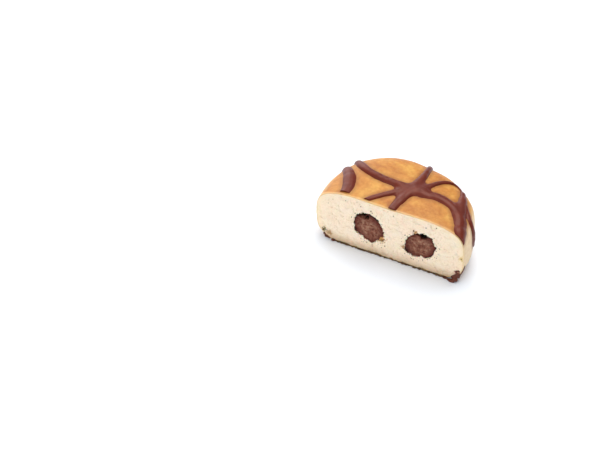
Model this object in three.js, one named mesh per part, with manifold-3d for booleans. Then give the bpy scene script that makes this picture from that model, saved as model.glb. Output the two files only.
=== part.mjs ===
// Half of a filled yeast doughnut, as it lies after one straight knife cut: the dough with its
// two pockets of chocolate cream, and the net of chocolate drizzled over its golden crust.
// Millimetres, +Z up. The cut faces -Y and the doughnut stands on its flat underside.
// While it is being shaped, the knife's plane is y = 0 and the doughnut's axis is just behind it.

import * as THREE from 'three';
import { mergeVertices } from 'three/addons/utils/BufferGeometryUtils.js';
import Module from 'manifold-3d';

const wasm = await Module();
wasm.setup();

// ---- The dough ----------------------------------------------------------------------------

const PLAN_RADIUS = 44.6; // seen from above, before the lobes
const HEIGHT = 37.2;
const WAIST_HEIGHT = 16.4; // where the doughnut is widest
const CENTRE_BEHIND_CUT = 1.8; // the knife passed this far in front of the middle
const SQUARENESS = 4.18; // of the side outline: 2 is an ellipse, more is boxier
const FLAT_BASE_TRIM = 1.2; // how much of the round belly the baking tray flattened

// Hand shaping leaves the plan a little oval and lopsided.
const PLAN_LOBES = [
  { waves: 2, cosine: -0.047, sine: 0.02 },
  { waves: 3, cosine: 0.027, sine: 0.023 },
];

// Soft swellings (+) and dents (-) of the crust, near these points.
const SWELLINGS = [
  { near: [-43, 6, 18], height: 0.3, spread: 12 },
  { near: [-39, 0, 3], height: -1.1, spread: 8 },
  { near: [1, -2, 37], height: -0.6, spread: 16 },
  { near: [18, 8, 37], height: 0.4, spread: 14 },
  { near: [8, 42, 33], height: -0.7, spread: 12 },
  { near: [43, 16, 12], height: 0.4, spread: 12 },
  { near: [-20, 40, 20], height: 0.5, spread: 18 },
  { near: [36, 29, 27], height: 1, spread: 9 },
  { near: [18, 42, 29], height: 0.5, spread: 9 },
];

const RINGS = 34; // from the underside's middle to the top's
const MERIDIANS = 84;

// ---- The chocolate cream ------------------------------------------------------------------

// Each pocket runs straight back from the cut and ends in a round nose. `lean` tips its section.
const FILLINGS = [
  { name: 'filling_left', x: -10.4, z: 18.2, halfWidth: 8.5, halfHeight: 9.9, lean: 0.14, depth: 25 },
  { name: 'filling_right', x: 19.2, z: 17.6, halfWidth: 8.5, halfHeight: 9, lean: -0.16, depth: 23 },
];
const RAGGED_WAVES = [
  { waves: 3, part: 0.03 },
  { waves: 5, part: 0.025 },
  { waves: 9, part: 0.02 },
];
const FILLING_SIDES = 40;
const NOSE_RINGS = 7;
const NOSE_START = 0.35; // the share of the depth where the round nose begins
const NOSE_BLUNTNESS = 0.7; // 1 is an elliptical nose, less is blunter
const CREAM_SHRINKAGE = 0.9; // air left above the cream when it set
const CREAM_RECESS = 0.5; // the knife drags the cream back from the cut
const KNIFE_OVERRUN = 1; // pockets are cut from this far in front of the knife's plane

// ---- The chocolate drizzle ----------------------------------------------------------------

// Every strand is a bead: its section is the cap of a circle that sits on the crust.
// Route points are [x, y, z, half width, relief]; each one is pressed onto the crust.
// The strands that the knife cut run on to y < 0, where the cut takes them off.
const NET = {
  hub: [
    [0.5, 18.3, 37, 3.4, 1.9],
    [5.8, 19.2, 37, 4.9, 2.2],
    [11, 19.4, 37, 4.3, 1.9],
  ],
  backLeft: [
    [3, 18.8, 37, 3, 1.9],
    [-4.4, 19.1, 37, 2.6, 1.7],
    [-9.9, 19.6, 37, 2.7, 1.6],
    [-15.5, 20.6, 37, 2.6, 1.6],
    [-21.7, 22.8, 36, 2.6, 1.6],
    [-27, 26.6, 34.4, 2.7, 1.4],
    [-31, 31.5, 29, 2.2, 1.4],
    [-31.6, 34.4, 22, 2.2, 1.4],
    [-30, 35.8, 15, 2, 1.5],
    [-28.4, 36, 10, 1.7, 1.4],
  ],
  back: [
    [5, 20, 37, 3.2, 1.9],
    [6.6, 26.3, 37, 2.75, 1.7],
    [7.1, 32.3, 36, 2.2, 1.6],
    [6.8, 38.6, 34.6, 1.8, 1.5],
    [6, 43.4, 31, 1.7, 1.5],
    [4.9, 46, 25, 1.8, 1.5],
    [3.6, 47, 18, 1.8, 1.5],
    [2.9, 46.5, 13, 1.6, 1.4],
  ],
  frontLeft: [
    [3, 17.6, 37, 2.2, 1.5],
    [-1.8, 12.9, 37.2, 2, 1.3],
    [-5.9, 9.4, 37.2, 1.85, 1.2],
    [-9.7, 5.5, 37.2, 1.75, 1.2],
    [-12.9, 1.9, 37.2, 1.6, 1.1],
    [-16, -2.8, 37.2, 1.4, 1],
  ],
  front: [
    [6, 17.8, 37, 3.2, 1.8],
    [4, 12.3, 37.2, 2.9, 1.5],
    [2.9, 8.1, 37.2, 2.8, 1.4],
    [2.2, 4.6, 37.2, 2.7, 1.4],
    [1.7, 0, 37.2, 2.45, 1.4],
    [1.7, -4, 37.2, 2.4, 1.4],
  ],
  farRight: [
    [8, 20.4, 37, 3.2, 1.7],
    [12.4, 24.5, 36.7, 2.1, 1.3],
    [15.4, 29, 36, 1.5, 1.2],
    [18.8, 33, 34.6, 1.3, 1.2],
    [22.8, 35.2, 32.4, 1, 1],
    [26.6, 34, 31, 0.75, 0.8],
    [28.6, 31.6, 31.8, 0.9, 0.9],
  ],
  trunk: [
    [29.9, 30.7, 32, 1.8, 1.4],
    [31.3, 27.5, 33, 2.3, 1.5],
    [32.6, 23.7, 33.8, 2.8, 1.6],
    [33.9, 19.1, 34.4, 3.2, 1.6],
    [35, 14.6, 34.6, 3.4, 1.6],
  ],
  nearRight: [
    [8, 18.1, 37, 3.6, 1.8],
    [15.5, 18.8, 37, 3.7, 1.7],
    [20.1, 19, 36.6, 3.1, 1.6],
    [25.1, 18.4, 36.2, 3.05, 1.6],
    [29.6, 16.9, 35.6, 3.2, 1.6],
    [33.1, 14.4, 35, 3.6, 1.6],
    [36, 11.2, 34.3, 3.8, 1.6],
    [37.8, 7.5, 33.5, 4.1, 1.5],
    [39.4, 3.8, 32.4, 4, 1.5],
    [40.9, 0.7, 30.8, 3.4, 1.4],
    [42.2, -2.5, 28.6, 2.6, 1.3],
  ],
  outerRight: [
    [31.6, 27, 33, 1.1, 0.9],
    [33.4, 24, 33.2, 1.1, 0.9],
    [35.5, 21.1, 33, 1.3, 1],
    [38, 17.9, 32.4, 1.7, 1.1],
    [40.1, 15.4, 31.2, 2, 1.1],
    [41.9, 13.8, 28.8, 2.2, 1.2],
    [42.9, 13.4, 26, 2.3, 1.2],
    [43.3, 13.6, 21.5, 2.3, 1.2],
    [43.4, 13.8, 18.2, 2.1, 1.1],
    [43.2, 14, 15.8, 1.5, 0.9],
  ],
};
const ARC = [
  [-34, 24.4, 9, 1.8, 1.3],
  [-35.8, 24.8, 14, 2, 1.4],
  [-36.4, 25, 21, 2.2, 1.3],
  [-35, 24.6, 28, 2.5, 1.3],
  [-32.4, 20.8, 32.9, 3, 1.4],
  [-29.3, 15.5, 35.4, 3.4, 1.5],
  [-27.4, 11, 36.1, 3.55, 1.5],
  [-26.3, 7.1, 36.3, 3.5, 1.5],
  [-26.1, 3.7, 36.4, 3.2, 1.4],
  [-26.6, 0, 36.4, 2.8, 1.5],
  [-27.7, -4, 36.4, 2.4, 1.4],
];

// Chocolate that ran down the crust and set where it met the tray, at both ends of the cut.
const FOOT_LEFT = [
  [-31.5, 2, 0.8, 1.2, 1],
  [-34.6, 1.4, 1.6, 1.7, 1.3],
  [-37.6, 1.6, 4.4, 1.8, 1.2],
  [-39.6, 2.6, 8, 1.3, 1],
];
const FOOT_RIGHT = [
  [28, 1.6, 0.4, 1.2, 1.2],
  [32.5, 0.2, 0.9, 2.4, 2],
  [37.4, -0.4, 2.6, 3, 2.5],
  [41, 1.2, 6.4, 2.3, 1.9],
  [42.9, 3, 10.6, 1.4, 1.1],
];

const STRAND_SIDES = 10;
const STEPS_PER_POINT = 2; // steps of a bead from one route point to the next
const END_CAP = [0.35, 0.75, 0.96]; // how far along its rounded end each cap ring stands
const FOOT_OVERHANG = 10; // more than the feet bulge out in front of the cut

// ---- Between the pieces -------------------------------------------------------------------

const GAP = 0.3;
const HALF_SPACE = 200; // big enough to hold the doughnut
const OUTLINE_SAMPLES = 60; // of the side outline, before it is walked in even steps
const SLOPE_STEP = 0.5; // how far to each side the crust is felt for its slope

const crustMaterial = new THREE.MeshStandardMaterial({ color: 0xdf9a4c, roughness: 0.55 });
const creamMaterial = new THREE.MeshStandardMaterial({ color: 0x6b3a2c, roughness: 0.7 });
const chocolateMaterial = new THREE.MeshStandardMaterial({ color: 0x5a2d2a, roughness: 0.4 });

const centre = new THREE.Vector3(0, CENTRE_BEHIND_CUT, WAIST_HEIGHT);

// How far the crust is from the centre in a direction, in millimetres.
function crustReach(direction) {
  const bearing = Math.atan2(direction.y, direction.x);
  let plan = PLAN_RADIUS;
  for (const lobe of PLAN_LOBES) {
    const turn = lobe.waves * bearing;
    plan += PLAN_RADIUS * (lobe.cosine * Math.cos(turn) + lobe.sine * Math.sin(turn));
  }
  const halfHeight = direction.z > 0 ? HEIGHT - WAIST_HEIGHT : WAIST_HEIGHT + FLAT_BASE_TRIM;
  const across = Math.hypot(direction.x, direction.y) / plan;
  const upright = Math.abs(direction.z) / halfHeight;
  const reach = (across ** SQUARENESS + upright ** SQUARENESS) ** (-1 / SQUARENESS);
  const point = direction.clone().multiplyScalar(reach).add(centre);
  let swelling = 0;
  for (const { near, height, spread } of SWELLINGS) {
    const away = point.distanceTo(new THREE.Vector3(...near)) / spread;
    swelling += height * Math.exp(-away * away);
  }
  return reach + swelling;
}

// The crust's point on the line from the centre through a point.
function pressOntoCrust(point, lift = 0) {
  const direction = point.clone().sub(centre).normalize();
  return direction.clone().multiplyScalar(crustReach(direction) + lift).add(centre);
}

function crustNormal(point) {
  const outward = point.clone().sub(centre).normalize();
  const sideways = new THREE.Vector3(0, 0, 1).cross(outward).normalize();
  const upward = outward.clone().cross(sideways);
  const slope = (along) => {
    const ahead = pressOntoCrust(point.clone().addScaledVector(along, SLOPE_STEP));
    return ahead.sub(pressOntoCrust(point.clone().addScaledVector(along, -SLOPE_STEP)));
  };
  return slope(sideways).cross(slope(upward)).normalize();
}

// ---- Solids -------------------------------------------------------------------------------

function solidOf(geometry) {
  const bare = geometry.clone();
  bare.deleteAttribute('normal');
  bare.deleteAttribute('uv');
  const merged = mergeVertices(bare);
  return new wasm.Manifold(new wasm.Mesh({
    numProp: 3,
    vertProperties: new Float32Array(merged.attributes.position.array),
    triVerts: new Uint32Array(merged.index.array),
  }));
}

function geometryOf(solid) {
  const mesh = solid.getMesh();
  const geometry = new THREE.BufferGeometry();
  geometry.setAttribute('position', new THREE.BufferAttribute(mesh.vertProperties, 3));
  geometry.setIndex(new THREE.BufferAttribute(mesh.triVerts, 1));
  return geometry;
}

// A closed skin over rings of points, each ring with as many points, and an end at each side.
function skinOver(rings, firstEnd, lastEnd) {
  const sides = rings[0].length;
  const points = [...rings.flat(), firstEnd, lastEnd];
  const first = points.length - 2;
  const last = points.length - 1;
  const triangles = [];
  for (let side = 0; side < sides; side += 1) {
    const next = (side + 1) % sides;
    for (let ring = 0; ring + 1 < rings.length; ring += 1) {
      const here = ring * sides;
      const ahead = here + sides;
      triangles.push(here + side, ahead + next, here + next);
      triangles.push(here + side, ahead + side, ahead + next);
    }
    const end = (rings.length - 1) * sides;
    triangles.push(first, side, next);
    triangles.push(last, end + next, end + side);
  }
  const geometry = new THREE.BufferGeometry().setFromPoints(points);
  geometry.setIndex(triangles);
  return geometry;
}

// The part of space behind the knife's plane, moved back or forward, and above the tray.
function behindPlane(y) {
  const box = new THREE.BoxGeometry(HALF_SPACE, HALF_SPACE, HALF_SPACE);
  box.translate(0, y + HALF_SPACE / 2, HALF_SPACE / 2);
  return solidOf(box);
}

function largestBody(solid) {
  return solid.decompose().sort((one, other) => other.volume() - one.volume())[0];
}

// The whole doughnut before the cut, its crust moved out by `lift`.
function wholeDough(lift) {
  const outline = [];
  const corner = 2 / SQUARENESS;
  for (let sample = 0; sample <= OUTLINE_SAMPLES; sample += 1) {
    const turn = Math.PI * (sample / OUTLINE_SAMPLES - 0.5);
    const up = Math.sign(turn) * Math.abs(Math.sin(turn)) ** corner;
    const halfHeight = turn > 0 ? HEIGHT - WAIST_HEIGHT : WAIST_HEIGHT + FLAT_BASE_TRIM;
    const out = Math.abs(Math.cos(turn)) ** corner * PLAN_RADIUS;
    outline.push(new THREE.Vector2(out, up * halfHeight));
  }
  const profile = new THREE.SplineCurve(outline).getSpacedPoints(RINGS);
  profile[0].x = 0;
  profile[RINGS].x = 0;
  const body = new THREE.LatheGeometry(profile, MERIDIANS);
  body.rotateX(Math.PI / 2);
  body.translate(centre.x, centre.y, centre.z);
  const places = body.attributes.position;
  const point = new THREE.Vector3();
  for (let index = 0; index < places.count; index += 1) {
    point.fromBufferAttribute(places, index);
    const pressed = pressOntoCrust(point, lift);
    places.setXYZ(index, pressed.x, pressed.y, pressed.z);
  }
  return solidOf(body);
}

// ---- Chocolate cream ----------------------------------------------------------------------

// The cream's body, or with `grow` and `rise` its pocket: wider all round, and taller on top.
function creamBody({ x, z, halfWidth, halfHeight, lean, depth }, grow, rise) {
  const section = (size, y) => {
    const ring = [];
    for (let side = 0; side < FILLING_SIDES; side += 1) {
      const turn = (side / FILLING_SIDES) * 2 * Math.PI;
      let ragged = 1;
      for (const { waves, part } of RAGGED_WAVES) {
        ragged += part * Math.sin(waves * turn + waves * waves + x);
      }
      const across = (halfWidth * ragged + grow) * size * Math.cos(turn);
      const up = (halfHeight * ragged + grow) * size * Math.sin(turn);
      const topRise = rise * size * Math.max(0, Math.sin(turn));
      ring.push(new THREE.Vector3(x + across - lean * up, y, z + up + topRise));
    }
    return ring;
  };
  const length = depth + grow;
  const front = -KNIFE_OVERRUN;
  const rings = [section(1, front)];
  for (let step = 0; step < NOSE_RINGS; step += 1) {
    const turn = (step / NOSE_RINGS) * (Math.PI / 2);
    const along = NOSE_START + (1 - NOSE_START) * Math.sin(turn);
    rings.push(section(Math.cos(turn) ** NOSE_BLUNTNESS, length * along));
  }
  const frontEnd = new THREE.Vector3(x, front, z);
  const nose = new THREE.Vector3(x, length, z);
  return solidOf(skinOver(rings, frontEnd, nose));
}

// ---- Chocolate drizzle --------------------------------------------------------------------

function bead(route) {
  const path = new THREE.CatmullRomCurve3(route.map(([x, y, z]) => new THREE.Vector3(x, y, z)));
  const sizes = new THREE.CatmullRomCurve3(
    route.map(([, , , halfWidth, relief]) => new THREE.Vector3(halfWidth, relief, 0)),
  );
  const steps = STEPS_PER_POINT * (route.length - 1);
  // The circle at a step; at an end of the bead it can stand `beyond` radii further out.
  const sectionAt = (step, beyond) => {
    const share = step / steps;
    const { x: halfWidth, y: relief } = sizes.getPoint(share);
    const radius = (halfWidth ** 2 + relief ** 2) / (2 * relief);
    const along = path.getTangent(share);
    const place = pressOntoCrust(path.getPoint(share)).addScaledVector(along, beyond * radius);
    const normal = crustNormal(place);
    const sideways = normal.clone().cross(along).normalize();
    const middle = place.addScaledVector(normal, relief - radius);
    const size = radius * Math.sqrt(1 - beyond * beyond);
    const ring = [];
    for (let side = 0; side < STRAND_SIDES; side += 1) {
      const turn = (side / STRAND_SIDES) * 2 * Math.PI;
      ring.push(middle.clone()
        .addScaledVector(sideways, -size * Math.cos(turn))
        .addScaledVector(normal, size * Math.sin(turn)));
    }
    return { ring, middle };
  };
  const sections = [...END_CAP].reverse().map((beyond) => sectionAt(0, -beyond));
  for (let step = 0; step <= steps; step += 1) {
    sections.push(sectionAt(step, 0));
  }
  sections.push(...END_CAP.map((beyond) => sectionAt(steps, beyond)));
  const rings = sections.map(({ ring }) => ring);
  return solidOf(skinOver(rings, sectionAt(0, -1).middle, sectionAt(steps, 1).middle));
}

// ---- Assembly -----------------------------------------------------------------------------

const doughnut = new THREE.Group();

function addPiece(name, solid, material) {
  const piece = new THREE.Mesh(geometryOf(solid), material);
  piece.name = name;
  doughnut.add(piece);
}

const behindKnife = behindPlane(0);
let dough = wholeDough(0).intersect(behindKnife);
for (const filling of FILLINGS) {
  dough = dough.subtract(creamBody(filling, GAP, CREAM_SHRINKAGE));
}
addPiece('dough', dough, crustMaterial);

const behindRecess = behindPlane(CREAM_RECESS);
for (const filling of FILLINGS) {
  addPiece(filling.name, creamBody(filling, 0, 0).intersect(behindRecess), creamMaterial);
}

const clearOfCrust = wholeDough(GAP);
const strands = Object.values(NET).map(bead);
const net = strands.reduce((joined, strand) => joined.add(strand));
const aroundFeet = behindPlane(-FOOT_OVERHANG);
const CHOCOLATE = [
  { name: 'chocolate_drizzle', beads: net, within: behindKnife },
  { name: 'chocolate_arc', beads: bead(ARC), within: behindKnife },
  { name: 'chocolate_foot_left', beads: bead(FOOT_LEFT), within: aroundFeet },
  { name: 'chocolate_foot_right', beads: bead(FOOT_RIGHT), within: aroundFeet },
];
for (const { name, beads, within } of CHOCOLATE) {
  // What a grazing cut leaves as loose flakes is dropped.
  const onCrust = largestBody(beads.subtract(clearOfCrust).intersect(within));
  addPiece(name, onCrust, chocolateMaterial);
}

// The origin goes under the middle of the whole thing, on the surface that it stands on.
const bounds = new THREE.Box3().setFromObject(doughnut);
const middle = bounds.getCenter(new THREE.Vector3());
doughnut.position.set(-middle.x, -middle.y, -bounds.min.z);
doughnut.updateMatrixWorld(true);

export default doughnut;
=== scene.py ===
"""Half of a filled doughnut on a pale floor: its crust, crumb, chocolate cream and drizzle.

The shapes are worked out in millimetres from the point where the knife's plane crosses the
middle of the doughnut: x to the right along the cut, y back into the dough, z up.
"""

import math
import random

import bpy
from mathutils import Matrix, Vector, noise
from mathutils.bvhtree import BVHTree


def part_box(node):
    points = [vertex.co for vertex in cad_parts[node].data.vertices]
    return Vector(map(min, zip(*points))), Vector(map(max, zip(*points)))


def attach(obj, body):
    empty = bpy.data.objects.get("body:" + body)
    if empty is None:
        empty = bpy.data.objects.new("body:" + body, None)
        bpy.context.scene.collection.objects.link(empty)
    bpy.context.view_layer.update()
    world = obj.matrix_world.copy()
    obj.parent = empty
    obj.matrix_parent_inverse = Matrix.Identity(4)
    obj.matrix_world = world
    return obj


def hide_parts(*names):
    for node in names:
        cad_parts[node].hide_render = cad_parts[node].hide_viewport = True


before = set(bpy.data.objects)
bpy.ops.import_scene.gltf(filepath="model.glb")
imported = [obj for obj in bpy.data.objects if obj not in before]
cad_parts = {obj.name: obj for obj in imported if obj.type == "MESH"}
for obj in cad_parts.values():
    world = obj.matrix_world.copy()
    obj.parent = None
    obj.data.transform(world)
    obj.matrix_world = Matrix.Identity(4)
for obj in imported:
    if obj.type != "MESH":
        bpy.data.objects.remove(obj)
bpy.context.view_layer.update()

MM = 0.001

# ---- The dough's shape, in millimetres -----------------------------------------------------

PLAN_RADIUS = 44.6  # seen from above, before the lobes
HEIGHT = 37.2
WAIST_HEIGHT = 16.4  # where the doughnut is widest
CENTRE_BEHIND_CUT = 1.8  # the knife passed this far in front of the middle
SQUARENESS = 4.18  # of the side outline: 2 is an ellipse, more is boxier
FLAT_BASE_TRIM = 1.2  # how much of the round belly is missing where it lay flat on a tray
# Hand shaping left the plan lopsided: waves round it, cosine, sine
PLAN_LOBES = [(2, -0.047, 0.02), (3, 0.027, 0.023)]
# Soft swellings and dents of the crust: near this point, height, spread
SWELLINGS = [
    ((-43, 6, 18), 0.3, 12),
    ((-39, 0, 3), -1.1, 8),
    ((1, -2, 37), -0.6, 16),
    ((18, 8, 37), 0.4, 14),
    ((8, 42, 33), -0.7, 12),
    ((43, 16, 12), 0.4, 12),
    ((-20, 40, 20), 0.5, 18),
    ((36, 29, 27), 1.0, 9),
    ((18, 42, 29), 0.5, 9),
]
# Unevenness of the crust, in layers: height, and waves to the length of its radius
CRUST_NOISE = [(0.22, 4), (0.07, 14)]
AXIS_FROM_LEFT = 41.6  # the doughnut's axis, from the dough's left end
CRUST_THICKNESS = 0.5
BASE_THICKNESS = 0.6  # of the browned underside
CRUST_OVERLAP = 0.1  # the crumb reaches this far into the crust
BULGE = 0.9  # how far the cut crumb swells out of the knife's plane
TUCK = 0.3  # how far it draws back at the bottom
TUCK_HEIGHT = 7  # the drawing back begins this high
LIP = 0.4  # how far the browned base juts out in front of the knife's plane
LIP_HEIGHT = 1.2
# Unevenness of the crust's cut edge and of the crumb: height, and waves to the millimetre
CRUST_EDGE_NOISE = [(0.15, 0.8), (0.1, 3)]
CRUMB_NOISE = [(0.1, 0.9), (0.04, 2.2), (0.12, 0.25)]
# The bigger pores of the crumb: spacing, the share of places that has one, depth
PORES = [(2.4, 0.1, 0.4), (1.6, 0.16, 0.25)]
SMALLEST_PORE = 0.22  # its radius, as a share of the spacing
PORE_RANGE = 0.25  # how much more the biggest has
FINE_CUTS = 127  # cuts in each edge of the cube that becomes the dough
COARSE_CUTS = 47  # for surfaces that nobody sees
FEELER_CUTS = 95  # for the crust that the chocolate is pressed onto
CRUMB_GRID = 0.25  # the size of the faces on the cut
CREAM_GRID = 0.2
# Two corners of a space round the whole doughnut
SPACE_LOW = Vector((-90, -60, -30))
SPACE_HIGH = Vector((90, 120, 80))
CUT_LOW = (-48, -2)  # x and z of two corners round the cut
CUT_HIGH = (48, 40)
BLOCK_DEPTH = 60  # more than the half is deep

CENTRE = Vector((0, CENTRE_BEHIND_CUT, WAIST_HEIGHT))
DOUGH_LOW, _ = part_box("dough")
ORIGIN = Vector((DOUGH_LOW.x + AXIS_FROM_LEFT * MM, DOUGH_LOW.y, 0))

# ---- The chocolate cream -------------------------------------------------------------------

# Name, x, z, half width, half height, lean, depth
FILLINGS = [
    ("left", -10.4, 18.2, 8.5, 9.9, 0.14, 25),
    ("right", 19.2, 17.6, 8.5, 9.0, -0.16, 23),
]
CREAM_RECESS = 0.5  # the knife drags the cream back from the cut
POCKET_GROWTH = 0.25  # the pocket is wider than the cream all round
CREAM_SHRINKAGE = 0.25  # air left above the cream when it set
RAGGED_WAVES = [(3, 0.03), (5, 0.025), (9, 0.02)]  # waves round the outline, share of its size
TORN_EDGE = [(0.7, 6), (0.5, 15)]  # height, and waves to the length of the outline's radius
POCKET_SIDES = 240
POCKET_RINGS = 36
NOSE_START = 0.35  # the share of the depth where the round nose begins
NOSE_BLUNTNESS = 0.7  # 1 is an elliptical nose, less is blunter
STRAIGHTNESS = 0.05  # 0 is a straight wall in front of the nose
KNIFE_OVERRUN = 3  # pockets are cut from this far in front of the knife's plane
CREAM_LUMPS = 1.1  # how high the torn lumps of the cream are
CREAM_LUMP_FINENESS = 0.35  # how many there are to a millimetre
CREAM_GRAIN = [(0.12, 2)]  # height, and waves to the millimetre
CREAM_MARGIN = 1.6  # the block that a cream is cut from, in half sizes of the filling
# Bites out of the outline and bumps on it: turn in degrees, height, spread in degrees
RIM_BUMPS = {
    "left": [
        (108, 1, 22),
        (232, -1.1, 8),
        (303, -1.8, 20),
        (278, -0.5, 12),
        (332, -1.6, 11),
        (20, 0.5, 12),
        (345, 0.4, 8),
        (50, 0.6, 22),
        (205, 0.5, 16),
    ],
    "right": [(215, 0.7, 18), (62, 0.7, 16), (288, -1.7, 8), (265, 0.4, 9), (120, 0.5, 14)],
}
# Dark hollows where the cream has shrunk from the crumb: side, middle, half sizes
HOLLOWS = [
    ("left", (-14.4, 0, 27.2), (2.4, 5, 2.6)),
    ("left", (-12, 0, 25.8), (1.8, 4, 1.6)),
    ("right", (20.6, 0, 25.9), (2.8, 5, 2.5)),
    ("right", (17.2, 0, 26), (1.6, 3, 1.2)),
]

# ---- The chocolate drizzle -----------------------------------------------------------------

# Route points: x, y, z, half width, relief. Each is pressed onto the crust.
NET = {
    "hub": [
        (0.5, 18.3, 37, 3.4, 1.9),
        (5.8, 19.2, 37, 4.9, 2.2),
        (11, 19.4, 37, 4.3, 1.9),
    ],
    "back_left": [
        (3, 18.8, 37, 3, 1.9),
        (-4.4, 19.1, 37, 2.6, 1.7),
        (-9.9, 19.6, 37, 2.7, 1.6),
        (-15.5, 20.6, 37, 2.6, 1.6),
        (-21.7, 22.8, 36, 2.6, 1.6),
        (-27, 26.6, 34.4, 2.7, 1.4),
        (-31, 31.5, 29, 2.2, 1.4),
        (-31.6, 34.4, 22, 2.2, 1.4),
        (-30, 35.8, 15, 2, 1.5),
        (-28.4, 36, 10, 1.7, 1.4),
    ],
    "back": [
        (5, 20, 37, 3.2, 1.9),
        (6.6, 26.3, 37, 2.75, 1.7),
        (7.1, 32.3, 36, 2.2, 1.6),
        (6.8, 38.6, 34.6, 1.8, 1.5),
        (6, 43.4, 31, 1.7, 1.5),
        (4.9, 46, 25, 1.8, 1.5),
        (3.6, 47, 18, 1.8, 1.5),
        (2.9, 46.5, 13, 1.6, 1.4),
    ],
    "front_left": [
        (3, 17.6, 37, 2.2, 1.5),
        (-1.8, 12.9, 37.2, 2, 1.3),
        (-5.9, 9.4, 37.2, 1.85, 1.2),
        (-9.7, 5.5, 37.2, 1.75, 1.2),
        (-12.9, 1.9, 37.2, 1.6, 1.1),
        (-16, -2.8, 37.2, 1.4, 1),
    ],
    "front": [
        (6, 17.8, 37, 3.2, 1.8),
        (4, 12.3, 37.2, 2.9, 1.5),
        (2.9, 8.1, 37.2, 2.8, 1.4),
        (2.2, 4.6, 37.2, 2.7, 1.4),
        (1.7, 0, 37.2, 2.45, 1.4),
        (1.7, -4, 37.2, 2.4, 1.4),
    ],
    "far_right": [
        (8, 20.4, 37, 3.2, 1.7),
        (12.4, 24.5, 36.7, 2.1, 1.3),
        (15.4, 29, 36, 1.5, 1.2),
        (18.8, 33, 34.6, 1.3, 1.2),
        (22.8, 35.2, 32.4, 1, 1),
        (26.6, 34, 31, 0.75, 0.8),
        (28.6, 31.6, 31.8, 0.9, 0.9),
    ],
    "trunk": [
        (29.9, 30.7, 32, 1.8, 1.4),
        (31.3, 27.5, 33, 2.3, 1.5),
        (32.6, 23.7, 33.8, 2.8, 1.6),
        (33.9, 19.1, 34.4, 3.2, 1.6),
        (35, 14.6, 34.6, 3.4, 1.6),
    ],
    "near_right": [
        (8, 18.1, 37, 3.6, 1.8),
        (15.5, 18.8, 37, 3.7, 1.7),
        (20.1, 19, 36.6, 3.1, 1.6),
        (25.1, 18.4, 36.2, 3.05, 1.6),
        (29.6, 16.9, 35.6, 3.2, 1.6),
        (33.1, 14.4, 35, 3.6, 1.6),
        (36, 11.2, 34.3, 3.8, 1.6),
        (37.8, 7.5, 33.5, 4.1, 1.5),
        (39.4, 3.8, 32.4, 3.9, 1.8),
        (40.9, 0.7, 30.8, 3.3, 1.7),
        (42.2, -2.5, 28.6, 2.6, 1.3),
    ],
}
ARC = [
    (-34, 24.4, 9, 1.8, 1.3),
    (-35.8, 24.8, 14, 2, 1.4),
    (-36.4, 25, 21, 2.2, 1.3),
    (-35, 24.6, 28, 2.5, 1.3),
    (-32.4, 20.8, 32.9, 3, 1.4),
    (-29.3, 15.5, 35.4, 3.4, 1.5),
    (-27.4, 11, 36.1, 3.55, 1.5),
    (-26.3, 7.1, 36.3, 3.5, 1.5),
    (-26.1, 3.7, 36.4, 3.2, 1.4),
    (-26.6, 0, 36.4, 2.8, 1.5),
    (-27.7, -4, 36.4, 2.4, 1.4),
]
# A thin run beside the net. It joins after the others have melted, so that a gap stays open.
RUN = [
    (31.6, 27, 33, 1.1, 0.9),
    (33.4, 24, 33.2, 1.1, 0.9),
    (35.5, 21.1, 33, 1.3, 1),
    (38, 17.9, 32.4, 1.7, 1.1),
    (40.1, 15.4, 31.2, 2, 1.1),
    (41.9, 13.8, 28.8, 2.2, 1.2),
    (42.9, 13.4, 26, 2.3, 1.2),
    (43.3, 13.6, 21.5, 2.3, 1.2),
    (43.4, 13.8, 18.2, 2.1, 1.1),
    (43.2, 14, 15.8, 1.5, 0.9),
]
# Where strands pooled into a smooth sheet: middle, radius, rounds of smoothing
POOLS = [((5.8, 19, 38), 11, 40), ((33.6, 17.5, 35), 8, 25)]
FOOT_LEFT = [
    (-34, 0.8, 0.8, 0.7, 0.6),
    (-35.6, 0.9, 1.8, 0.9, 0.7),
    (-37, 1.4, 4, 0.8, 0.6),
    (-37.8, 1.8, 6, 0.5, 0.4),
]
FOOT_RIGHT = [
    (38.6, 0.3, 1, 1, 0.9),
    (40.8, 0.4, 3, 1.3, 1),
    (42.4, 1.2, 7, 1.1, 0.8),
    (43.4, 2.4, 10.5, 0.7, 0.5),
]
# Lumps on them: middle, half sizes
FOOT_LEFT_LUMPS = [
    ((-31.2, -0.4, 0.6), (1.2, 0.8, 0.8)),
    ((-33.8, 0, 0.9), (1, 0.6, 0.6)),
    ((-35.2, 0, 1.5), (1.4, 0.7, 0.9)),
    ((-36.6, 0.1, 3), (0.8, 0.6, 1.1)),
    ((-37.2, 0.2, 5.6), (0.7, 0.5, 0.9)),
]
FOOT_RIGHT_LUMPS = [
    ((34.2, -0.6, 0.5), (1.5, 0.8, 0.8)),
    ((36.6, -0.9, 0.3), (1.3, 0.9, 0.6)),
    ((38.4, -1.3, 0.4), (1.9, 1.2, 0.8)),
    ((40.1, -0.7, 1.5), (1.6, 1.1, 1.5)),
    ((41.4, 0.1, 4.2), (1.2, 0.9, 1.8)),
    ((40.1, -0.2, 7), (0.7, 0.5, 1.2)),
    ((41.5, -0.1, 8), (0.7, 0.5, 0.6)),
]
# Bigger bits along the bottom edge: x, radius
EDGE_BITS = [
    (-23, 0.5),
    (-13.6, 0.6),
    (-3.5, 0.45),
    (9.6, 0.8),
    (11.3, 0.6),
    (19.5, 0.7),
    (25, 0.6),
    (29.6, 0.7),
]
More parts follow.
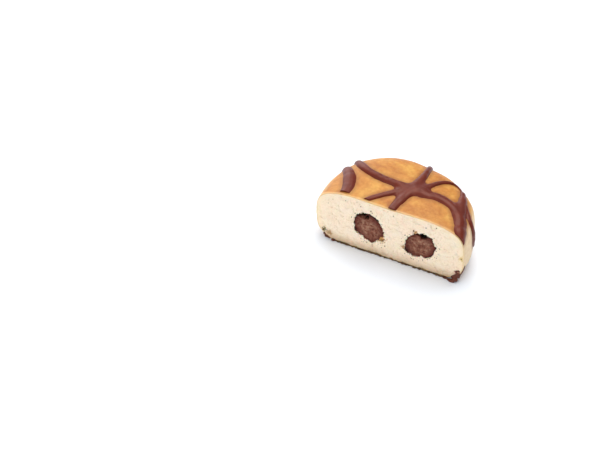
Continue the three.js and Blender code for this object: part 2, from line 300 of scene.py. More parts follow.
# Dark bits on the cut face: x, z, radius
FACE_BITS = [
    (-9.6, 31.6, 0.35),
    (-15.6, 32.4, 0.25),
    (-24.3, 33.2, 0.22),
    (-34.4, 27.2, 0.22),
    (3.2, 33.2, 0.3),
    (15.1, 27.6, 0.4),
    (21.8, 32.4, 0.38),
    (27.4, 34.4, 0.28),
    (21.1, 7.8, 0.22),
    (42.3, 17.5, 0.28),
    (-1.6, 13.6, 0.4),
    (-3.6, 12.6, 0.3),
    (10.1, 12.4, 0.3),
    (-6.4, 29.4, 0.25),
    (-18.6, 26.4, 0.25),
]
# Stains on the crumb: middle, radius, colour
STAINS = [
    ((-36.7, 0, 6.2), 2.2, "#73603C"),
    ((-33.6, 0, 4.8), 2.4, "#AE8B60"),
    ((-3.4, -0.8, 14), 4, "#CB9152"),
    ((-2.4, -0.8, 12.8), 1.8, "#8A6030"),
    ((41, 0, 6.2), 2.6, "#8A5038"),
    ((42.8, 0, 17.5), 2.4, "#E2C183"),
    ((16, -0.8, 26.6), 1.6, "#B98A5A"),
    ((9.4, -0.8, 13.4), 1.6, "#C39A70"),
]
BITS_FORWARD = 0.45  # how far they lie in front of the knife's plane
LOOSE_CRUMBS = 110
LOOSE_SPAN = (-31, 33)  # x of the first and the last of them along the bottom edge
SPECKS_PER_FILLING = 46
STRAND_STEP = 0.8  # between the rings of a strand, before it is remeshed
STRAND_SWAY = 0.06  # how much its thickness comes and goes
COARSE_VOXEL = 0.4  # for the first remeshing, when the strands are swollen
STRAND_VOXEL = 0.28
MELT_ROUNDS = 6  # of smoothing after a remeshing
WEB = 1.3  # how far the strands are swollen and shrunk again, to fill the corners between them
# How far behind the knife's plane the brittle strands broke off: x, depth
CHIPS = [(-60, 2.1), (-24, 2.1), (-13, 1.5), (1, 0.5), (60, 0.4)]
CHIP_NOISE = [(0.25, 1)]  # height, and waves to the millimetre
CHIP_LOW = (-60, 15)  # x and z of two corners round the broken ends
CHIP_HIGH = (60, 60)
CHIP_GRID = 0.7
CHIP_REACH = 40  # how far in front of the ends everything is cut away
END_CAP = [0.35, 0.65, 0.85, 0.97]  # how far along a rounded end each of its rings stands

# ---- Modelling helpers ---------------------------------------------------------------------


def place(x, y, z):
    """A point given in millimetres from the shapes' origin, in the scene's metres."""
    return ORIGIN + Vector((x, y, z)) * MM


def select_only(obj):
    """Selects one object and makes it the active one."""
    bpy.ops.object.select_all(action="DESELECT")
    obj.select_set(True)
    bpy.context.view_layer.objects.active = obj


def finish_with(obj, kind, **settings):
    """Adds a modifier, sets it and applies it."""
    select_only(obj)
    modifier = obj.modifiers.new(kind, kind)
    for name, value in settings.items():
        setattr(modifier, name, value)
    bpy.ops.object.modifier_apply(modifier=modifier.name)


def combine(obj, operation, other, keep_other=False):
    """Cuts a solid by another, or keeps what they share. The other goes unless it is kept."""
    finish_with(obj, "BOOLEAN", operation=operation, object=other, solver="MANIFOLD")
    if not keep_other:
        bpy.data.objects.remove(other)


def settle(obj):
    """Puts the turn and scale of an object into its mesh, and its place too."""
    select_only(obj)
    bpy.ops.object.transform_apply(location=True, rotation=True, scale=True)


def block(name, low, high):
    """A plain box between two corners."""
    middle = (Vector(low) + Vector(high)) / 2
    bpy.ops.mesh.primitive_cube_add(size=1, location=place(*middle))
    box = bpy.context.object
    box.name = name
    box.scale = (Vector(high) - Vector(low)) * MM
    settle(box)
    return box


def lump(name, middle, radii, seed, uneven_by, fineness=3):
    """An uneven round lump."""
    bpy.ops.mesh.primitive_ico_sphere_add(subdivisions=fineness, radius=1)
    piece = bpy.context.object
    piece.name = name
    for vertex in piece.data.vertices:
        way = vertex.co.normalized()
        shift = Vector((seed * 3.7, seed * 1.3, 0))  # so that no two lumps are alike
        bumps = noise.noise(way * 1.7 + shift) + 0.5 * noise.noise(way * 4 + shift)
        reach = 1 + uneven_by * bumps
        offset = Vector(part * radius for part, radius in zip(way * reach, radii))
        vertex.co = place(*(Vector(middle) + offset))
    return piece


def join(pieces, name):
    """Makes one object of several."""
    select_only(pieces[0])
    for piece in pieces:
        piece.select_set(True)
    bpy.ops.object.join()
    pieces[0].name = name
    return pieces[0]


def duplicate(obj, name):
    """A copy of an object with a mesh of its own."""
    copy = obj.copy()
    copy.data = obj.data.copy()
    copy.name = name
    bpy.context.scene.collection.objects.link(copy)
    return copy


def uneven(point, layers):
    """Noise at a point, in layers of (height, fineness)."""
    return sum(height * noise.noise(point * fineness) for height, fineness in layers)


def push_back(obj, depth_at):
    """Moves the front of a piece back, by a depth that a function gives for each point."""
    for vertex in obj.data.vertices:
        if abs(vertex.co.y - ORIGIN.y) < 0.01 * MM:
            vertex.co.y += depth_at((vertex.co - ORIGIN) / MM) * MM


def below(name, z):
    """All space under a height."""
    return block(name, SPACE_LOW, (SPACE_HIGH.x, SPACE_HIGH.y, z))


def crust_reach(direction):
    """How far the crust is from the dough's centre in a direction, in millimetres."""
    bearing = math.atan2(direction.y, direction.x)
    plan = PLAN_RADIUS
    for waves, cosine, sine in PLAN_LOBES:
        turn = waves * bearing
        plan += PLAN_RADIUS * (cosine * math.cos(turn) + sine * math.sin(turn))
    half_height = HEIGHT - WAIST_HEIGHT if direction.z > 0 else WAIST_HEIGHT + FLAT_BASE_TRIM
    across = math.hypot(direction.x, direction.y) / plan
    upright = abs(direction.z) / half_height
    reach = (across**SQUARENESS + upright**SQUARENESS) ** (-1 / SQUARENESS)
    point = CENTRE + direction * reach
    swelling = 0
    for near, height, spread in SWELLINGS:
        swelling += height * math.exp(-(((point - Vector(near)).length / spread) ** 2))
    return reach + swelling


# ---- Dough ---------------------------------------------------------------------------------


def dough_ball(name, cuts, lift):
    """The whole doughnut's dough from a subdivided cube, with its crust moved out by lift."""
    bpy.ops.mesh.primitive_cube_add(size=2)
    ball = bpy.context.object
    ball.name = name
    bpy.ops.object.mode_set(mode="EDIT")
    bpy.ops.mesh.subdivide(number_cuts=cuts)
    bpy.ops.object.mode_set(mode="OBJECT")
    for vertex in ball.data.vertices:
        spread = Vector(math.tan(side * math.pi / 4) for side in vertex.co)
        direction = spread.normalized()
        reach = crust_reach(direction) + lift + uneven(direction, CRUST_NOISE)
        vertex.co = place(*(CENTRE + direction * reach))
    return ball


def face_slab(name, low, high, step, depth):
    """A block with a fine grid of faces on the knife's plane. A negative depth puts it in front."""
    width = high[0] - low[0]
    height = high[1] - low[1]
    middle = place((low[0] + high[0]) / 2, 0, (low[1] + high[1]) / 2)
    bpy.ops.mesh.primitive_grid_add(
        x_subdivisions=round(width / step),
        y_subdivisions=round(height / step),
        size=1,
        location=middle,
        rotation=(math.pi / 2, 0, 0),
    )
    slab = bpy.context.object
    slab.name = name
    slab.scale = (width * MM, height * MM, 1)
    settle(slab)
    bpy.ops.object.mode_set(mode="EDIT")
    bpy.ops.mesh.select_all(action="SELECT")
    bpy.ops.mesh.extrude_region_move(TRANSFORM_OT_translate={"value": (0, depth * MM, 0)})
    bpy.ops.mesh.select_all(action="SELECT")
    bpy.ops.mesh.normals_make_consistent(inside=False)
    bpy.ops.object.mode_set(mode="OBJECT")
    return slab


def pocket_body(name, filling, grow, rise, seed):
    """The round-nosed body of a filling, wider all round by grow and taller on top by rise."""
    side, x, z, half_width, half_height, lean, depth = filling
    bpy.ops.mesh.primitive_uv_sphere_add(
        segments=POCKET_SIDES,
        ring_count=POCKET_RINGS,
        radius=1,
        rotation=(-math.pi / 2, 0, 0),
    )
    body = bpy.context.object
    body.name = name
    settle(body)
    for vertex in body.data.vertices:
        across, along, up = vertex.co
        turn = math.atan2(up, across)
        lift = math.asin(max(-1, min(1, along)))
        length = depth + grow
        if along > 0:
            y = length * (NOSE_START + (1 - NOSE_START) * along)
        else:
            y = -KNIFE_OVERRUN + (length * NOSE_START + KNIFE_OVERRUN) * (1 + along)
        size = max(0.0, math.cos(lift)) ** (NOSE_BLUNTNESS if along > 0 else STRAIGHTNESS)
        ragged = 1
        for waves, part in RAGGED_WAVES:
            ragged += part * math.sin(waves * turn + waves * waves + x)
        bumps = 0
        for bump_turn, height, spread in RIM_BUMPS[side]:
            apart = (math.degrees(turn) - bump_turn + 180) % 360 - 180
            bumps += height * math.exp(-((apart / spread) ** 2))
        rim = Vector((math.cos(turn), math.sin(turn), seed))
        torn = uneven(rim, TORN_EDGE)
        wide = (half_width * ragged + grow + bumps + torn) * size * math.cos(turn)
        high = (half_height * ragged + grow + bumps + torn) * size * math.sin(turn)
        top = rise * size * max(0, math.sin(turn))
        vertex.co = place(x + wide - lean * high, y, z + high + top)
    return body


def from_middle(point):
    """How far out a point of the cut face is: 0 in the middle and 1 at the crust."""
    offset = Vector((point.x, 0, point.z)) - CENTRE
    return offset.length / crust_reach(offset.normalized())


def face_shape(point):
    """How far the cut face lies behind the knife's plane: it swells out and tucks in below."""
    swell = BULGE * (1 - from_middle(point) ** 4)
    return TUCK * max(0, 1 - point.z / TUCK_HEIGHT) ** 2 - swell


def pore(point, size, share, depth):
    """The depth of a field of round pores at a point."""
    distances, centres = noise.voronoi(point / size)
    chance = noise.cell(centres[0] * 7.3)  # a number of its own for each place
    if chance > share:
        return 0
    radius = SMALLEST_PORE + PORE_RANGE * (chance / share)
    slope = max(0, 1 - (distances[0] / radius) ** 2)
    return depth * slope * slope * (3 - 2 * slope)


def crumb_depth(point):
    """The bigger pores and the unevenness of the cut crumb."""
    bent = point + 0.5 * noise.noise_vector(point * 0.5)  # so that no pore is quite round
    holes = 0
    for index, (spacing, share, depth) in enumerate(PORES):
        apart = index * Vector((40, 0, 9))  # so that the sets of pores don't follow each other
        holes = max(holes, pore(bent + apart, spacing, share, depth))
    inner = min(1, 12 * (1 - from_middle(point)))  # it fades out just inside the crust
    return inner * (holes + uneven(point, CRUMB_NOISE))


def crust_edge_depth(point):
    """The ragged edge of the cut crust, and the lip of the browned base below it."""
    return uneven(point, CRUST_EDGE_NOISE) - LIP * max(0, 1 - point.z / LIP_HEIGHT)


def cream_depth(point):
    """The cream lies behind the cut crumb, in torn lumps."""
    lumps = noise.turbulence(point * CREAM_LUMP_FINENESS, 4, True) - 0.5
    return face_shape(point) + CREAM_RECESS + CREAM_LUMPS * lumps + uneven(point, CREAM_GRAIN)


knife = block("knife", SPACE_LOW, (SPACE_HIGH.x, 0, SPACE_HIGH.z))
tray = below("tray", 0)

crust = dough_ball("crust", FINE_CUTS, 0)
combine(crust, "DIFFERENCE", knife, keep_other=True)
combine(crust, "DIFFERENCE", tray, keep_other=True)
dough_solid = duplicate(crust, "dough_solid")
inside = dough_ball("inside", COARSE_CUTS, -CRUST_THICKNESS)
combine(inside, "DIFFERENCE", below("base", BASE_THICKNESS))
combine(crust, "DIFFERENCE", inside)

crumb = face_slab("crumb", CUT_LOW, CUT_HIGH, CRUMB_GRID, BLOCK_DEPTH)
core = dough_ball("core", COARSE_CUTS, CRUST_OVERLAP - CRUST_THICKNESS)
combine(crumb, "INTERSECT", core)
combine(crumb, "DIFFERENCE", below("base", BASE_THICKNESS - CRUST_OVERLAP))
creams = {}
for seed, filling in enumerate(FILLINGS):
    pocket = pocket_body("pocket", filling, POCKET_GROWTH, CREAM_SHRINKAGE, seed)
    combine(crumb, "DIFFERENCE", pocket)
    side, x, z, half_width, half_height, _, _ = filling
    low = (x - CREAM_MARGIN * half_width, z - CREAM_MARGIN * half_height)
    high = (x + CREAM_MARGIN * half_width, z + CREAM_MARGIN * half_height)
    cream = face_slab("cream_" + side, low, high, CREAM_GRID, BLOCK_DEPTH)
    combine(cream, "INTERSECT", pocket_body("body", filling, 0, 0, seed))
    creams[side] = cream
for seed, (side, middle, radii) in enumerate(HOLLOWS):
    hollow = lump("hollow", middle, radii, seed, uneven_by=0.5, fineness=4)
    combine(creams[side], "DIFFERENCE", hollow)

push_back(crumb, lambda point: face_shape(point) + crumb_depth(point))
push_back(crust, crust_edge_depth)
for cream in creams.values():
    push_back(cream, cream_depth)

# ---- Drizzle -------------------------------------------------------------------------------


def between(route, share):
    """The place and sizes at a share of a route, on a smooth curve through its points."""
    spot = share * (len(route) - 1)
    index = min(int(spot), len(route) - 2)
    t = spot - index
    around = [route[min(max(index + k, 0), len(route) - 1)] for k in (-1, 0, 1, 2)]
    weights = (
        -0.5 * t + t * t - 0.5 * t**3,
        1 - 2.5 * t * t + 1.5 * t**3,
        0.5 * t + 2 * t * t - 1.5 * t**3,
        -0.5 * t * t + 0.5 * t**3,
    )
    return [sum(w * p[k] for w, p in zip(weights, around)) for k in range(5)]


feeler = dough_ball("feeler", FEELER_CUTS, 0)
crust_tree = BVHTree.FromObject(feeler, bpy.context.evaluated_depsgraph_get())
bpy.data.objects.remove(feeler)


def strand(route, grow):
    """One strand of chocolate as a tube whose top stands out of the crust by its relief."""
    length = sum((Vector(b[:3]) - Vector(a[:3])).length for a, b in zip(route, route[1:]))
    steps = round(length / STRAND_STEP)
    spots = []
    for step in range(steps + 1):
        x, y, z, half_width, relief = between(route, step / steps)
        on_crust, normal, _, _ = crust_tree.find_nearest(place(x, y, z))
        radius = (half_width**2 + relief**2) / (2 * relief)  # its top is a cap of this circle
        sway = 1 + STRAND_SWAY * noise.noise(Vector((x, y, z)) * 0.3)
        middle = on_crust + normal * (relief * sway - radius) * MM
        spots.append((middle, (radius * sway + grow) * MM))
    for end, before in ((0, 1), (-1, -2)):
        middle, radius = spots[end]
        along = (middle - spots[before][0]).normalized()
        cap = [
            (middle + along * radius * beyond, radius * math.sqrt(1 - beyond * beyond))
            for beyond in END_CAP
        ]
        spots = cap[::-1] + spots if end == 0 else spots + cap
    curve = bpy.data.curves.new("strand", "CURVE")
    curve.dimensions = "3D"
    curve.bevel_depth = 1
    curve.bevel_resolution = 6
    curve.use_fill_caps = True
    line = curve.splines.new("POLY")
    line.points.add(len(spots) - 1)
    for point, (middle, radius) in zip(line.points, spots):
        point.co = (*middle, 1)
        point.radius = radius
    tube = bpy.data.objects.new("strand", curve)
    bpy.context.scene.collection.objects.link(tube)
    select_only(tube)
    bpy.ops.object.convert(target="MESH")
    return bpy.context.object


def melt(piece, voxel):
    """Makes one smooth skin of pieces that run into each other."""
    finish_with(piece, "REMESH", mode="VOXEL", voxel_size=voxel * MM)
    finish_with(piece, "SMOOTH", factor=0.5, iterations=MELT_ROUNDS)


def soften(piece, middle, radius, rounds):
    """Smooths a piece near a point, most in the middle."""
    group = piece.vertex_groups.new(name="near")
    for vertex in piece.data.vertices:
        apart = (vertex.co - place(*middle)).length / (radius * MM)
        if apart < 1:
            group.add([vertex.index], 1 - apart * apart, "REPLACE")
    finish_with(piece, "SMOOTH", factor=0.5, iterations=rounds, vertex_group="near")
    piece.vertex_groups.clear()


def chocolate_piece(name, routes, cutter, lumps=(), pools=()):
    """Strands melted into one, laid on the crust and cut by the cutter and the tray."""
    piece = join([strand(route, WEB) for route in routes], name)
    melt(piece, COARSE_VOXEL)
    finish_with(piece, "DISPLACE", strength=-WEB * MM, mid_level=0)
    for pool in pools:
        soften(piece, *pool)
    if lumps:
        piece = join([piece, *lumps], name)
    melt(piece, STRAND_VOXEL)
    for other in (dough_solid, cutter, tray):
        if other:
            combine(piece, "DIFFERENCE", other, keep_other=True)
    return piece


def lumps_of(places):
    """Lumps from a list of (middle, half sizes)."""
    return [lump("lump", *one, seed, uneven_by=0.35) for seed, one in enumerate(places)]


def crumb_bit(middle, size, seed, fineness):
    """One small crumb."""
    return lump("bit", middle, size, seed, uneven_by=0.5, fineness=fineness)


def browned_bits():
    """Crumbs and drops of the browned base along the bottom edge, and specks on the cut face."""
    chance = random.Random(4)
    pieces = []
    for x, radius in EDGE_BITS:
        size = (1.5 * radius, radius, 0.8 * radius)
        pieces.append(crumb_bit((x, -BITS_FORWARD, 0.6 * radius), size, x, 2))
    for _ in range(LOOSE_CRUMBS):
        x = chance.uniform(*LOOSE_SPAN)
        radius = chance.uniform(0.15, 0.42)
        middle = (x, chance.uniform(-0.75, -0.1), chance.uniform(0.3, 1.2) * radius)
        size = (radius * chance.uniform(0.8, 1.8), radius, radius * chance.uniform(0.6, 1))
        pieces.append(crumb_bit(middle, size, x, 2))
    specks = list(FACE_BITS)
    for _, x, z, half_width, half_height, lean, _ in FILLINGS:
        for _ in range(SPECKS_PER_FILLING):
            turn = chance.uniform(0, 2 * math.pi)
            out = 1.05 + 0.3 * chance.random() ** 2  # most lie close to the filling
            up = half_height * out * math.sin(turn)
            across = half_width * out * math.cos(turn) - lean * up
            specks.append((x + across, z + up, chance.uniform(0.11, 0.27)))
    for x, z, radius in specks:
        y = face_shape(Vector((x, 0, z)))
        size = (radius * chance.uniform(0.8, 1.4), radius, radius * chance.uniform(0.7, 1.2))
        pieces.append(crumb_bit((x, y, z), size, x, 1))
    crumbs = join(pieces, "browned_bits")
    for vertex in crumbs.data.vertices:
        vertex.co.z = max(vertex.co.z, 0)  # they lie on the floor
    return crumbs


def chip_depth(x):
    """How far behind the knife's plane a strand at x broke off."""
    for (start, first), (end, second) in zip(CHIPS, CHIPS[1:]):
        if x <= end:
            return first + (second - first) * (x - start) / (end - start)
    return CHIPS[-1][1]


bits = browned_bits()
chip_line = face_slab("chip_line", CHIP_LOW, CHIP_HIGH, CHIP_GRID, -CHIP_REACH)
push_back(chip_line, lambda point: chip_depth(point.x) + uneven(point, CHIP_NOISE))

drizzle = chocolate_piece("drizzle", NET.values(), chip_line, [strand(RUN, 0)], POOLS)
arc = chocolate_piece("drizzle_arc", [ARC], chip_line)
foot_left = chocolate_piece("foot_left", [FOOT_LEFT], None, lumps_of(FOOT_LEFT_LUMPS))
foot_right = chocolate_piece("foot_right", [FOOT_RIGHT], None, lumps_of(FOOT_RIGHT_LUMPS))
for cutter in (dough_solid, knife, tray, chip_line):
    bpy.data.objects.remove(cutter)

# ---- Materials -----------------------------------------------------------------------------

COLLAR_TOP = 31  # height of the pale collar's upper edge, in millimetres
COLLAR_TOP_AT_ENDS = 37
COLLAR_CLIMB = (33, 43)  # how far from the axis it starts and stops to climb
CRISP_EDGE = math.radians(70)  # edges sharper than this aren't smoothed


def linear(code):
    """An sRGB hex colour as linear RGBA."""
    shades = [int(code[k : k + 2], 16) / 255 for k in (1, 3, 5)]
    return tuple(s / 12.92 if s <= 0.04045 else ((s + 0.055) / 1.055) ** 2.4 for s in shades) + (1,)


def new_material(name):
    """A material, its node tree, its shader and the place on the object, in metres."""
    material = bpy.data.materials.new(name)
    material.use_nodes = True
    tree = material.node_tree
    shader = tree.nodes["Principled BSDF"]
    spot = tree.nodes.new("ShaderNodeTexCoord").outputs["Object"]
    return material, tree, shader, spot


def set_inputs(tree, node, inputs):
    """Sets inputs of a node. Each is a number, a hex colour or the output of another node."""
    for socket, value in inputs.items():
        if isinstance(value, bpy.types.NodeSocket):
            tree.links.new(value, node.inputs[socket])
        elif isinstance(value, str):
            node.inputs[socket].default_value = linear(value)
        else:
            node.inputs[socket].default_value = value


def add(tree, kind, inputs=None, **settings):
    """Adds a node with its settings, and with inputs as set_inputs takes them."""
    node = tree.nodes.new("ShaderNode" + kind)
    for name, value in settings.items():
        setattr(node, name, value)
    set_inputs(tree, node, inputs or {})
    return node


def mottle(tree, spot, size, *stops):
    """Colours in soft patches of a size in millimetres, and the noise behind them."""
    inputs = {"Vector": spot, "Scale": 1 / (size * MM), "Detail": 3, "Roughness": 0.6}
    cloud = add(tree, "TexNoise", inputs).outputs["Fac"]
    colours = add(tree, "ValToRGB", {"Fac": cloud})
    elements = colours.color_ramp.elements
    while len(elements) < len(stops):
        elements.new(0.5)
    for element, (position, code) in zip(elements, stops):
        element.position = position
        element.color = linear(code)
    return colours.outputs["Color"], cloud


def turn_into(tree, first, second, value, start, end, share=1):
    """The first colour, turning into a share of the second as a value goes from start to end."""
    inputs = {"Value": value, "From Min": start, "From Max": end, "To Max": share}
    amount = add(tree, "MapRange", inputs, interpolation_type="SMOOTHSTEP").outputs["Result"]
    inputs = {"Factor": amount, "A": first, "B": second}
    return add(tree, "Mix", inputs, data_type="RGBA").outputs["Result"]


def wander(tree, value, cloud, amount):
    """A length moved to and fro by noise, by up to about half an amount in millimetres."""
    swing = add(tree, "Math", {0: cloud, 1: 0.5}, operation="SUBTRACT").outputs["Value"]
    inputs = {0: swing, 1: amount * MM, 2: value}
    return add(tree, "Math", inputs, operation="MULTIPLY_ADD").outputs["Value"]


def pits(tree, spot, size, share):
    """0 in the middle of scattered round pits of a size in millimetres, and 1 around them."""
    cells = add(tree, "TexVoronoi", {"Vector": spot, "Scale": 1 / (size * MM)}).outputs
    inputs = {0: cells["Color"], 1: share}
    solid = add(tree, "Math", inputs, operation="GREATER_THAN").outputs["Value"]
    inputs = {"Value": cells["Distance"], "From Min": 0.12, "From Max": 0.42, "To Min": solid}
    return add(tree, "MapRange", inputs, interpolation_type="SMOOTHSTEP").outputs["Result"]


def golden_crust():
    """Fried yeast dough: satin golden brown on top, a pale collar, browned underneath."""
    material, tree, shader, spot = new_material("fried_golden_crust")
    golden, wide = mottle(tree, spot, 10, (0.32, "#A45D1E"), (0.5, "#C07D30"), (0.66, "#D49D48"))
    # The fine blisters of a fried skin are under 1 mm. They are drawn at 2.2 mm, to show.
    flecks, small = mottle(tree, spot, 2.2, (0.35, "#B06C2A"), (0.65, "#D69D50"))
    collar, _ = mottle(tree, spot, 2.2, (0.3, "#E8C596"), (0.7, "#F5DAB4"))
    x, y, z = add(tree, "SeparateXYZ", {"Vector": spot}).outputs
    inputs = {"Factor": 0.35, "A": golden, "B": flecks}
    colour = add(tree, "Mix", inputs, data_type="RGBA").outputs["Result"]
    # The pale collar reaches up to COLLAR_TOP, and higher at both ends of the half
    height = wander(tree, z, wide, amount=9)
    from_axis = add(tree, "Math", {0: x, 1: ORIGIN.x}, operation="SUBTRACT").outputs["Value"]
    inputs = {
        "Value": add(tree, "Math", {0: from_axis}, operation="ABSOLUTE").outputs["Value"],
        "From Min": COLLAR_CLIMB[0] * MM,
        "From Max": COLLAR_CLIMB[1] * MM,
        "To Min": -COLLAR_TOP * MM,
        "To Max": -COLLAR_TOP_AT_ENDS * MM,
    }
    top = add(tree, "MapRange", inputs).outputs["Result"]
    below_top = add(tree, "Math", {0: height, 1: top}, operation="ADD").outputs["Value"]
    colour = turn_into(tree, colour, collar, below_top, start=0, end=-8 * MM)
    # Browner again near the bottom
    colour = turn_into(tree, colour, "#C08F58", height, start=9 * MM, end=3 * MM)
    # Painted shade: darker beside the chocolate, where the strands shade the crust
    near = add(tree, "Attribute", attribute_name="from_chocolate").outputs["Fac"]
    colour = turn_into(tree, colour, "#7C4520", near, start=2.8, end=0.1, share=0.45)
    # Thinner and paler where the knife went through
    behind_cut = add(tree, "Math", {0: y, 1: ORIGIN.y}, operation="SUBTRACT").outputs["Value"]
    edge = wander(tree, behind_cut, small, amount=2)
    colour = turn_into(tree, colour, "#F0CF98", edge, start=1.8 * MM, end=0, share=0.5)
    # The browned base
    base = wander(tree, z, small, amount=1.4)
    colour = turn_into(tree, colour, "#5C4529", base, start=1.2 * MM, end=0.3 * MM)
    inputs = {"Strength": 1, "Distance": 0.12 * MM, "Height": small}
    surface = {
        "Base Color": colour,
        "Normal": add(tree, "Bump", inputs).outputs["Normal"],
        "Roughness": 0.5,
        "IOR": 1.45,
        "Specular IOR Level": 0.42,
        "Subsurface Weight": 0.1,
        "Subsurface Scale": 1.5 * MM,
    }
    set_inputs(tree, shader, surface)
    return material


def yeast_crumb():
    """Soft cream-coloured crumb, stained by chocolate and browned along its bottom edge."""
    material, tree, shader, spot = new_material("yeast_crumb")
    soft, wide = mottle(tree, spot, 7, (0.3, "#F6DDC2"), (0.5, "#F8E3C8"), (0.7, "#F6E1CC"))
    grain, small = mottle(tree, spot, 0.9, (0.35, "#E2CBAE"), (0.6, "#FFF1DC"))
    inputs = {"Factor": 0.2, "A": soft, "B": grain}
    colour = add(tree, "Mix", inputs, data_type="RGBA").outputs["Result"]
    # Most pores are 0.2 to 0.5 mm. They are drawn at 0.7 and 1.5 mm, to show, and bent.
    swirl = add(tree, "TexNoise", {"Vector": spot, "Scale": 1 / (1.3 * MM)}).outputs["Color"]
    inputs = {0: swirl, 1: (0.9 * MM,) * 3, 2: spot}
    bent = add(tree, "VectorMath", inputs, operation="MULTIPLY_ADD").outputs["Vector"]
    inputs = {
        0: pits(tree, bent, size=1.5, share=0.4),
        1: pits(tree, bent, size=0.7, share=0.42),
    }
    holes = add(tree, "Math", inputs, operation="MULTIPLY").outputs["Value"]
    # Painted shade: the pits are coloured darker, as if their hollows lie in shade
    colour = turn_into(tree, colour, "#E6CFAE", holes, start=1, end=0)
    # Yellower just inside the crust. Painted shade: darker towards the base, where the lower crumb
    # lies in shade
    rim = add(tree, "Attribute", attribute_name="rim").outputs["Fac"]
    colour = turn_into(tree, colour, "#FAE2BE", rim, start=0.9, end=1.0)
    _, y, z = add(tree, "SeparateXYZ", {"Vector": spot}).outputs
    low = wander(tree, z, wide, amount=3)
    colour = turn_into(tree, colour, "#D6BA98", low, start=9 * MM, end=0)
    lowest = wander(tree, z, small, amount=1.2)
    colour = turn_into(tree, colour, "#86694A", lowest, start=0.8 * MM, end=0.2 * MM)
    for middle, radius, code in STAINS:
        inputs = {0: spot, 1: place(*middle)}
        apart = add(tree, "VectorMath", inputs, operation="DISTANCE").outputs["Value"]
        ragged = wander(tree, apart, small, amount=2.2 * radius)
        colour = turn_into(
            tree, colour, code, ragged, start=radius * MM, end=0.3 * radius * MM
        )
    # Painted shade: the pockets' walls turn nearly black behind the cut, in the shadow round the
    # cream
    behind_cut = add(tree, "Math", {0: y, 1: ORIGIN.y}, operation="SUBTRACT").outputs["Value"]
    inputs = {"Value": rim, "From Min": 0.88, "From Max": 0.8}
    in_pocket = add(tree, "MapRange", inputs).outputs["Result"]
    colour = turn_into(
        tree, colour, "#2E130C", behind_cut, start=-0.1 * MM, end=0.5 * MM, share=in_pocket
    )
    rough = add(tree, "Math", {0: holes, 1: small}, operation="ADD").outputs["Value"]
    inputs = {"Strength": 1, "Distance": 0.09 * MM, "Height": rough}
    surface = {
        "Base Color": colour,
        "Normal": add(tree, "Bump", inputs).outputs["Normal"],
        "Roughness": 0.85,
        "IOR": 1.4,
        "Subsurface Weight": 0.25,
        "Subsurface Scale": 1.2 * MM,
    }
    set_inputs(tree, shader, surface)
    return material


def chocolate_cream():
    """Thick chocolate cream, torn by the knife: reddish at its edge, with a painted sheen that
    leaves its middle greyer and painted shade that darkens its edge.
    """
    material, tree, shader, spot = new_material("chocolate_cream")
    # Its grain is finer than 0.5 mm. It is drawn at 1.4 and 3.4 mm, to show.
    broad, wide = mottle(tree, spot, 3.4, (0.36, "#522116"), (0.5, "#854F3C"), (0.62, "#AE856C"))
    fine, small = mottle(tree, spot, 1.4, (0.36, "#582619"), (0.5, "#8A5340"), (0.66, "#B0896E"))
    inputs = {"Factor": 0.5, "A": broad, "B": fine}
    colour = add(tree, "Mix", inputs, data_type="RGBA").outputs["Result"]
    # Painted shade: darker and redder towards the edge, leaving the middle lighter as a painted
    # sheen; the reddish tint is the cream's own
    rim = add(tree, "Attribute", attribute_name="rim").outputs["Fac"]
    shaded_reddish_edge = wander(tree, rim, wide, amount=1 / MM)
    colour = turn_into(tree, colour, "#5C1F15", shaded_reddish_edge, start=0.5, end=0.95, share=0.85)
    darkest = wander(tree, rim, small, amount=0.4 / MM)
    colour = turn_into(tree, colour, "#35100A", darkest, start=0.88, end=1.02, share=0.9)
    # Painted shade: nearly black deep in the hollows and behind the cut
    y = add(tree, "SeparateXYZ", {"Vector": spot}).outputs["Y"]
    behind_cut = add(tree, "Math", {0: y, 1: ORIGIN.y}, operation="SUBTRACT").outputs["Value"]
    colour = turn_into(tree, colour, "#160806", behind_cut, start=0.4 * MM, end=1.8 * MM)
    inputs = {"Strength": 1, "Distance": 0.3 * MM, "Height": small}
    surface = {
        "Base Color": colour,
        "Normal": add(tree, "Bump", inputs).outputs["Normal"],
        "Roughness": 0.6,
        "IOR": 1.46,
        "Specular IOR Level": 0.2,
    }
    set_inputs(tree, shader, surface)
    return material


def set_chocolate(name, darker, lighter, roughness):
    """Milk chocolate that has set on the crust with a satin skin."""
    material, tree, shader, spot = new_material(name)
    colour, _ = mottle(tree, spot, 5, (0.35, darker), (0.65, lighter))
    # The ripples of the skin are finer than 0.5 mm. They are drawn at 1.6 mm, to show.
    inputs = {"Vector": spot, "Scale": 1 / (1.6 * MM), "Detail": 3, "Roughness": 0.6}
    ripples = add(tree, "TexNoise", inputs).outputs["Fac"]
    inputs = {"Strength": 1, "Distance": 0.05 * MM, "Height": ripples}
    surface = {
        "Base Color": colour,
        "Normal": add(tree, "Bump", inputs).outputs["Normal"],
        "Roughness": roughness,
        "IOR": 1.46,
        "Specular Tint": "#FFDCCB",
    }
    set_inputs(tree, shader, surface)
    return material


def browned_base():
    """Dark crumbs of the browned base."""
    material, tree, shader, spot = new_material("browned_base_crumbs")
    colour, _ = mottle(tree, spot, 1.5, (0.35, "#402A17"), (0.65, "#6E4F31"))
    set_inputs(tree, shader, {"Base Color": colour, "Roughness": 0.6, "IOR": 1.45})
    return material


def studio_floor():
    """White painted board."""
    material, tree, shader, _ = new_material("white_studio_floor")
    set_inputs(tree, shader, {"Base Color": "#F0F4FA", "Roughness": 0.9})
    return material


def wear(obj, material, smooth=True):
    """Gives a piece its material, and smooth shading."""
    obj.data.materials.clear()
    obj.data.materials.append(material)
    select_only(obj)
    if smooth:
        bpy.ops.object.shade_smooth_by_angle(angle=CRISP_EDGE)


